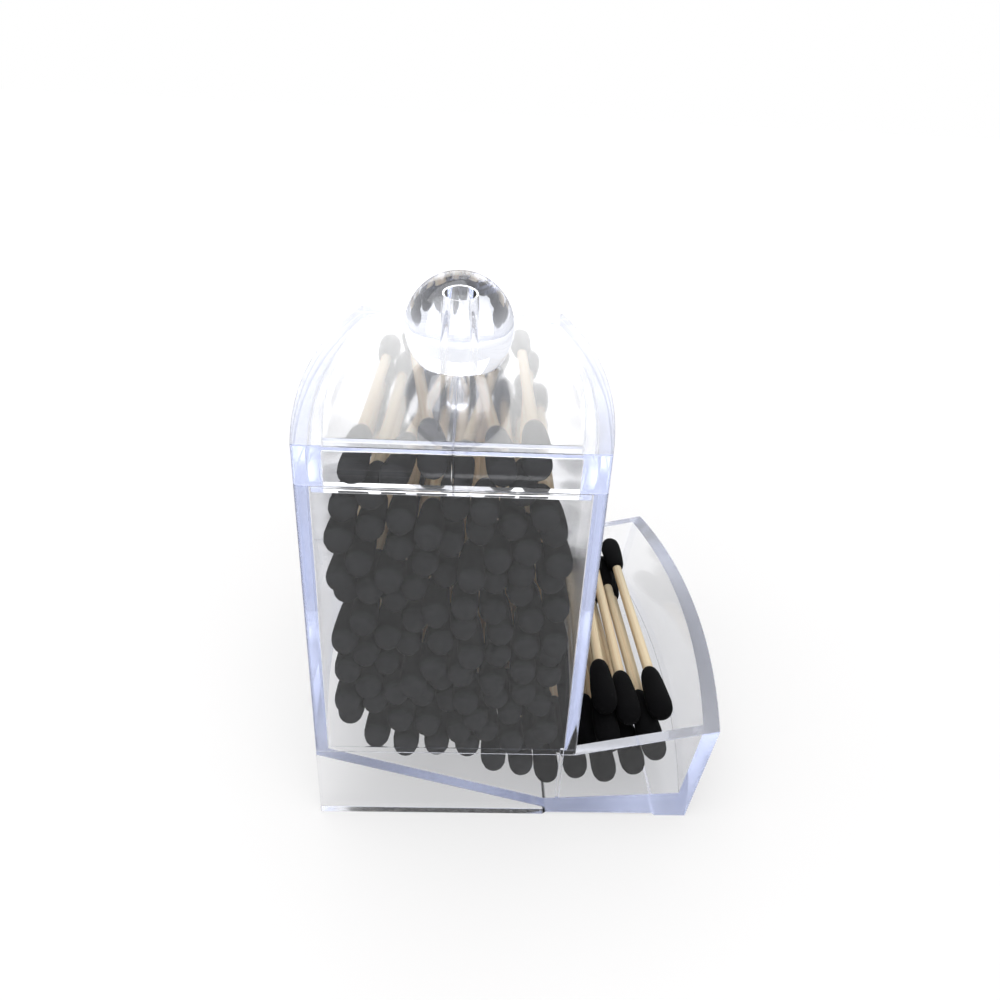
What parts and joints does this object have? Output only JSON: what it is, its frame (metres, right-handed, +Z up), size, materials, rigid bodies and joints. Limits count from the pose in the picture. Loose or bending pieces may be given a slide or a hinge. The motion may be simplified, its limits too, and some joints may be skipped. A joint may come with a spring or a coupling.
{
  "type": "cotton swab dispenser",
  "caption": "Clear plastic swab dispenser: a square hopper with a lift-off, ball-knobbed lid over a sloped floor that feeds an open tray, filled with black-tipped bamboo swabs",
  "frame": {"origin": "centre of the bounding box at table level", "axes": "+Z up from the table, +X from the hopper towards the tray, +Y from the front wall to the back wall"},
  "size_m": [0.0898, 0.088, 0.1029],
  "materials": {
    "clear_plastic": "clear, polished mould finish",
    "bamboo": "plain sanded bamboo",
    "black_cotton": "matt wound cotton"
  },
  "bodies": {
    "dispenser": {"base": "clear_plastic", "hopper": "clear_plastic", "hopper_course_01_sticks": "bamboo", "hopper_course_01_tips": "black_cotton", "hopper_course_02_sticks": "bamboo", "hopper_course_02_tips": "black_cotton", "hopper_course_03_sticks": "bamboo", "hopper_course_03_tips": "black_cotton", "hopper_course_04_sticks": "bamboo", "hopper_course_04_tips": "black_cotton", "hopper_course_05_sticks": "bamboo", "hopper_course_05_tips": "black_cotton", "hopper_course_06_sticks": "bamboo", "hopper_course_06_tips": "black_cotton", "hopper_course_07_sticks": "bamboo", "hopper_course_07_tips": "black_cotton", "hopper_course_08_sticks": "bamboo", "hopper_course_08_tips": "black_cotton", "hopper_course_09_sticks": "bamboo", "hopper_course_09_tips": "black_cotton", "hopper_course_10_sticks": "bamboo", "hopper_course_10_tips": "black_cotton", "tray_swab_01_stick": "bamboo", "tray_swab_01_tips": "black_cotton", "tray_swab_02_stick": "bamboo", "tray_swab_02_tips": "black_cotton", "tray_swab_03_stick": "bamboo", "tray_swab_03_tips": "black_cotton", "tray_swab_04_stick": "bamboo", "tray_swab_04_tips": "black_cotton", "tray_swab_05_stick": "bamboo", "tray_swab_05_tips": "black_cotton", "tray_swab_06_stick": "bamboo", "tray_swab_06_tips": "black_cotton", "tray_swab_07_stick": "bamboo", "tray_swab_07_tips": "black_cotton", "tray_swab_08_stick": "bamboo", "tray_swab_08_tips": "black_cotton", "tray_swab_09_stick": "bamboo", "tray_swab_09_tips": "black_cotton", "tray_swab_10_stick": "bamboo", "tray_swab_10_tips": "black_cotton"},
    "lid": {"lid": "clear_plastic", "knob": "clear_plastic"}
  },
  "joints": [
    {"name": "lid_lift", "type": "slide", "parent": "dispenser", "child": "lid", "axis": [0, 0, 1], "range_m": [0, 0.04]}
  ]
}
